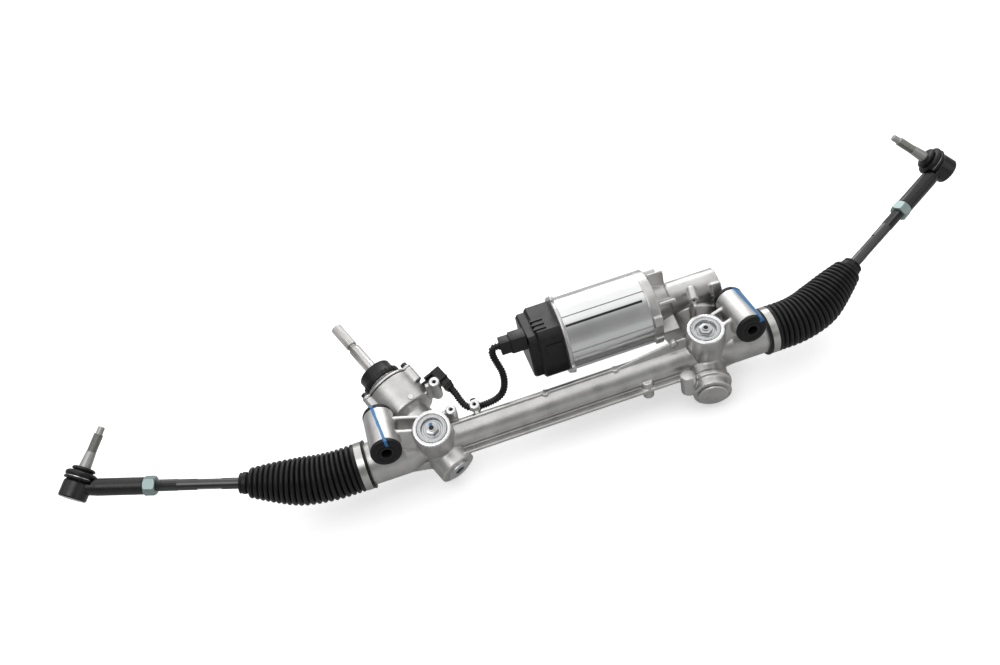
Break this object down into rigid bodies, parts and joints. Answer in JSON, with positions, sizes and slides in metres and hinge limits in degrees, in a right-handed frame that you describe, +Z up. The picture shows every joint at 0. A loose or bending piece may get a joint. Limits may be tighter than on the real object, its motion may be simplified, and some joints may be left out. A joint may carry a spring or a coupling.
{
  "type": "electric steering rack",
  "caption": "Dual-pinion electric power steering rack: cast housing with motor and worm gear, input shaft, bellows, and tie rods with ball-jointed ends.",
  "frame": {"origin": "midway between the two mounting eyes, on their common line", "axes": "+X along the rack bar towards the motor end, +Y along the mounting bolts towards the motor, +Z up"},
  "size_m": [1.3853, 0.2814, 0.1988],
  "materials": {
    "cast_housing": "as cast and bead blasted",
    "machined": "turned and satin",
    "black_moulding": "fine matt grain",
    "black_rubber": "matt",
    "bush_rubber": "matt",
    "black_steel": "satin black coat",
    "zinc_steel": "pale zinc plate",
    "bright_steel": "ground",
    "stainless": "bright stainless band",
    "bearing_steel": "ground",
    "core_steel": "laminated",
    "wheel_nylon": "satin nylon",
    "bush_plastic": "smooth",
    "sensor_plastic": "smooth"
  },
  "bodies": {
    "housing": {"rack_housing": "cast_housing", "gear_housing": "cast_housing", "gear_cover": "cast_housing", "sensor_cover": "cast_housing", "dust_cap": "black_moulding", "torque_sensor": "sensor_plastic", "sensor_screws": "black_steel", "gear_screws": "zinc_steel", "steering_bearings": "bearing_steel", "assist_bearings": "bearing_steel", "worm_bearings": "bearing_steel", "motor_bearings": "bearing_steel", "worm_plug": "machined", "steering_plug": "machined", "assist_plug": "cast_housing", "rack_yokes": "machined", "yoke_springs": "bright_steel", "yoke_plugs": "machined", "yoke_nuts": "zinc_steel", "bellows_clamps": "stainless", "rack_bushes": "bush_plastic", "mount_bushes": "bush_rubber", "mount_sleeves": "bright_steel", "motor_housing": "cast_housing", "motor_flange": "cast_housing", "motor_stator": "core_steel", "ecu_cover": "black_moulding", "ecu_plug": "black_moulding", "sensor_plug": "black_moulding", "sensor_lead": "black_moulding", "lead_clip": "black_moulding", "left_bellows": "black_rubber", "right_bellows": "black_rubber"},
    "rack": {"rack_bar": "bright_steel", "left_inner_socket": "bright_steel", "right_inner_socket": "bright_steel"},
    "steering_shaft": {"steering_pinion": "bright_steel", "torsion_bar": "bright_steel"},
    "input": {"input_shaft": "bright_steel"},
    "assist_shaft": {"assist_pinion": "bright_steel", "worm_wheel": "wheel_nylon"},
    "rotor": {"worm_shaft": "bright_steel", "motor_rotor": "core_steel", "worm_coupling": "bush_rubber"},
    "left_rod": {"left_small_clamp": "stainless", "left_tie_rod": "black_steel", "left_jam_nut": "zinc_steel", "left_rod_end": "black_steel", "left_socket_cap": "black_steel", "left_end_boot": "black_rubber"},
    "left_stud": {"left_ball_stud": "bright_steel"},
    "right_rod": {"right_small_clamp": "stainless", "right_tie_rod": "black_steel", "right_jam_nut": "zinc_steel", "right_rod_end": "black_steel", "right_socket_cap": "black_steel", "right_end_boot": "black_rubber"},
    "right_stud": {"right_ball_stud": "bright_steel"}
  },
  "joints": [
    {"name": "motor_turn", "type": "hinge", "parent": "housing", "child": "rotor", "pos_m": [0.2, 0.07494, 0.00499], "axis": [1, 0, 0], "range_deg": [-10012, 10012]},
    {"name": "rack_slide", "type": "slide", "parent": "housing", "child": "rack", "axis": [1, 0, 0], "range_m": [-0.07, 0.07], "deforming": ["left_bellows", "right_bellows"]},
    {"name": "assist_turn", "type": "hinge", "parent": "housing", "child": "assist_shaft", "pos_m": [0.206, 0.00415, -0.06331], "axis": [0.225, 0.9474, 0.2275], "range_deg": [-489, 489]},
    {"name": "steering_turn", "type": "hinge", "parent": "housing", "child": "steering_shaft", "pos_m": [-0.196, 0.0075, -0.06103], "axis": [-0.3746, 0.8298, 0.4137], "range_deg": [-532, 532]},
    {"name": "torsion_twist", "type": "hinge", "parent": "steering_shaft", "child": "input", "pos_m": [-0.25219, 0.13196, 0.00102], "axis": [-0.3746, 0.8298, 0.4137], "range_deg": [-4, 4], "stiffness_Nm_per_rad": 120},
    {"name": "left_rod_swing", "type": "hinge", "parent": "rack", "child": "left_rod", "pos_m": [-0.366, 0, -0.046], "axis": [0, 1, 0], "range_deg": [-30, 8], "deforming": ["left_bellows"]},
    {"name": "right_rod_swing", "type": "hinge", "parent": "rack", "child": "right_rod", "pos_m": [0.366, 0, -0.046], "axis": [0, 1, 0], "range_deg": [-6, 33], "deforming": ["right_bellows"]},
    {"name": "left_stud_swing", "type": "hinge", "parent": "left_rod", "child": "left_stud", "pos_m": [-0.68138, 0.06819, 0.02317], "axis": [0.0618, -0.5555, 0.8292], "range_deg": [-18, 18], "deforming": ["left_end_boot"]},
    {"name": "right_stud_swing", "type": "hinge", "parent": "right_rod", "child": "right_stud", "pos_m": [0.65662, 0.13306, 0.03607], "axis": [-0.1658, 0.7541, -0.6354], "range_deg": [-18, 18], "deforming": ["right_end_boot"]}
  ],
  "couplings": [
    {"joint": "rack_slide", "follows": "motor_turn", "m_per_rad": -0.00040051},
    {"joint": "assist_turn", "follows": "motor_turn", "ratio": -0.04878},
    {"joint": "steering_turn", "follows": "motor_turn", "ratio": -0.053049}
  ]
}
